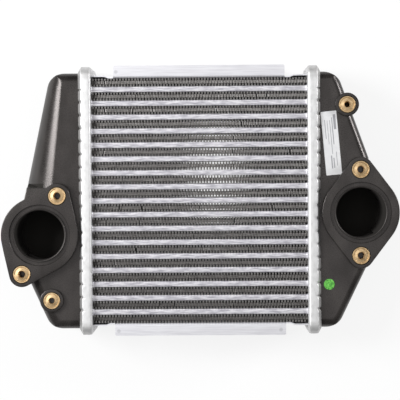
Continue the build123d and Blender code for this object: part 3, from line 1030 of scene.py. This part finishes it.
label_paper = shader("label_film", (0.86, 0.86, 0.86), 0.35)
label_place = add(label_paper, "TexCoord").outputs["Object"]
label_local = add(label_paper, "Mapping", {"Vector": label_place}, {
    "Location": (*label_middle, 0), "Rotation": (0, 0, label_tilt)}, vector_type="TEXTURE").outputs[0]
label_axes = add(label_paper, "SeparateXYZ", {"Vector": label_local})


def band(value, middle, half):
    """One inside a stretch of a coordinate and nought outside it."""
    away = calculate(label_paper, "SUBTRACT", value, middle)
    return calculate(label_paper, "LESS_THAN", calculate(label_paper, "ABSOLUTE", away), half)


# Each rule has its x and y from the label's middle, half its length along y and half its width, in mm.
label_rules = [(-4.6, 14, 9.5, 0.35), (-2.2, 11, 12.0, 0.25), (0.4, 6, 17.0, 0.3), (2.6, 12, 13.5, 0.45),
               (4.8, 21, 7.5, 0.8), (5.9, 21, 7.5, 0.5), (-1.0, -19, 6.5, 0.6), (1.2, -20, 5.0, 0.5),
               (4.2, -16, 7.0, 0.3)]
label_colour = ramp(label_paper, noise(label_paper, (5 * mm, 5 * mm, 5 * mm)), [
    (0.3, (0.68, 0.68, 0.69)),
    (1.0, (0.78, 0.78, 0.78)),
])
for rule_x, rule_y, half_length, half_width in label_rules:
    in_x = band(label_axes.outputs["X"], rule_x * mm, half_width * mm)
    in_y = band(label_axes.outputs["Y"], rule_y * mm, half_length * mm)
    both = calculate(label_paper, "MULTIPLY", in_x, in_y)
    label_colour = cover(label_paper, both, (0.3, 0.3, 0.32), label_colour)
feed(label_paper, "Base Color", label_colour)


def label_shell():
    """Thin film with rounded corners whose height waves gently, with the sine of the place along it."""
    x = label_size[0] / 2 - label_corner
    y = label_size[1] / 2 - label_corner
    corners = [(a, b, label_corner) for a in (-x, x) for b in (-y, y)]
    outline, _ = fill_in(*hull(corners, turn(32)), 3.0 * mm)
    shares = np.array([1.0, 0.8, 0.5, 0.2])
    loops = [outline * share for share in shares]
    turned_x = [loop[:, 0] * math.cos(label_tilt) - loop[:, 1] * math.sin(label_tilt) for loop in loops]
    turned_y = [loop[:, 0] * math.sin(label_tilt) + loop[:, 1] * math.cos(label_tilt) for loop in loops]
    flat = [np.stack([a + label_middle[0], b + label_middle[1]], -1) for a, b in zip(turned_x, turned_y)]
    wave = [label_wave * np.sin(loop[:, 1] / label_wave_length) for loop in loops]
    tops = [label_height + label_film + w for w in wave]
    bottoms = [np.full(len(outline), label_height) for loop in loops]
    loops = flat[::-1] + flat
    heights = bottoms[::-1] + tops
    rings = np.array([np.column_stack([loop, height]) for loop, height in zip(loops, heights)])
    return loft(rings)


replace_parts(make_piece("film_label", [label_shell()], label_paper), "label")


# Check mark: a round dab of green paint on the right tank's face, thicker at its rim.
# It is left by hand when the cooler has passed its leak test.
dot_middle = (129.5 * mm, -85.1 * mm)
dot_radius = 5.4 * mm
dot_height = 68.8 * mm

dot_paint = shader("green_paint", (0.16, 0.42, 0.12), 0.3)
dot_blotch = noise(dot_paint, (1.6 * mm, 1.6 * mm, 1.6 * mm))
feed(dot_paint, "Base Color", ramp(dot_paint, dot_blotch, [
    (0.35, (0.02, 0.16, 0.015)),
    (0.5, (0.1, 0.45, 0.05)),
    (0.75, (0.26, 0.7, 0.15)),
]))
dab = [(dot_radius, dot_height - 0.1 * mm), (dot_radius, dot_height + 0.08 * mm),
       (dot_radius * 0.93, dot_height + 0.22 * mm), (dot_radius * 0.8, dot_height + 0.14 * mm),
       (dot_radius * 0.3, dot_height + 0.14 * mm)]
make_piece("paint_dot", [turned(dab, dot_middle, 40)], dot_paint)


# Studio: a white table under the cooler, a soft box on each side and a large one above.
# The camera looks almost straight down on the ports.
table_half = 40.0
table_glow = 0.85
camera_place = (15.6 * mm, 28.5 * mm, 1480 * mm)
camera_target = (0.3 * mm, 0.4 * mm, 67 * mm)
camera_roll = math.radians(0.4)
camera_lens = 126.55
camera_sensor = 36
room_light = 0.17
# Each soft box has its name, place, target, width, height and power in watts.
soft_boxes = [
    ("left_box", (-1.25, 0.38, 1.25), (0, 0.05, 0.05), 0.6, 0.84, 32),
    ("right_box", (1.7, 0.6, 0.75), (0, 0.05, 0.05), 0.6, 0.45, 19),
    ("top_box", (0.0, 0.3, 2.3), (0, 0, 0.05), 1.9, 1.9, 10),
]

table_mesh = bpy.data.meshes.new("table")
table_mesh.from_pydata([(-table_half, -table_half, 0), (table_half, -table_half, 0),
                        (table_half, table_half, 0), (-table_half, table_half, 0)], [], [(0, 1, 2, 3)])
table = bpy.data.objects.new("table", table_mesh)
bpy.context.scene.collection.objects.link(table)
table_white = shader("white_table", (0.9, 0.9, 0.9), 0.8)
table_mesh.materials.append(table_white)


def seen_white(material, strength):
    """Mix a material with plain white light by a strength, for camera, glossy and transmission rays only."""
    rays = add(material, "LightPath").outputs
    seen = calculate(material, "MAXIMUM", rays["Is Camera Ray"], rays["Is Glossy Ray"])
    seen = calculate(material, "MAXIMUM", seen, rays["Is Transmission Ray"])
    share = calculate(material, "MULTIPLY", seen, strength)
    white = add(material, "Emission").outputs[0]
    nodes = material.node_tree.nodes
    mixed = add(material, "MixShader", {0: share, 1: nodes["Principled BSDF"].outputs[0], 2: white})
    material.node_tree.links.new(mixed.outputs[0], nodes["Material Output"].inputs["Surface"])


seen_white(table_white, table_glow)

world = bpy.data.worlds.new("studio")
bpy.context.scene.world = world
world.use_nodes = True
room = world.node_tree.nodes["Background"]
room.inputs[0].default_value = (1, 1, 1, 1)
room.inputs[1].default_value = room_light


def soft_box(name, place, target, width, height, power):
    """Rectangular lamp at a place, turned to its target."""
    lamp = bpy.data.lights.new(name, "AREA")
    lamp.shape = "RECTANGLE"
    lamp.size = width
    lamp.size_y = height
    lamp.energy = power
    box = bpy.data.objects.new(name, lamp)
    box.location = place
    box.rotation_euler = (Vector(target) - Vector(place)).to_track_quat("-Z", "Y").to_euler()
    bpy.context.scene.collection.objects.link(box)


for box_values in soft_boxes:
    soft_box(*box_values)

lens = bpy.data.cameras.new("camera")
lens.lens = camera_lens
lens.sensor_width = camera_sensor
camera = bpy.data.objects.new("camera", lens)
camera.location = camera_place
back = (Vector(camera_place) - Vector(camera_target)).normalized()
right = Vector((math.cos(camera_roll), -math.sin(camera_roll), 0))
upward = back.cross(right).normalized()
camera.rotation_euler = Matrix((upward.cross(back), upward, back)).transposed().to_euler()
bpy.context.scene.collection.objects.link(camera)
bpy.context.scene.camera = camera
bpy.context.scene.view_settings.view_transform = "Standard"
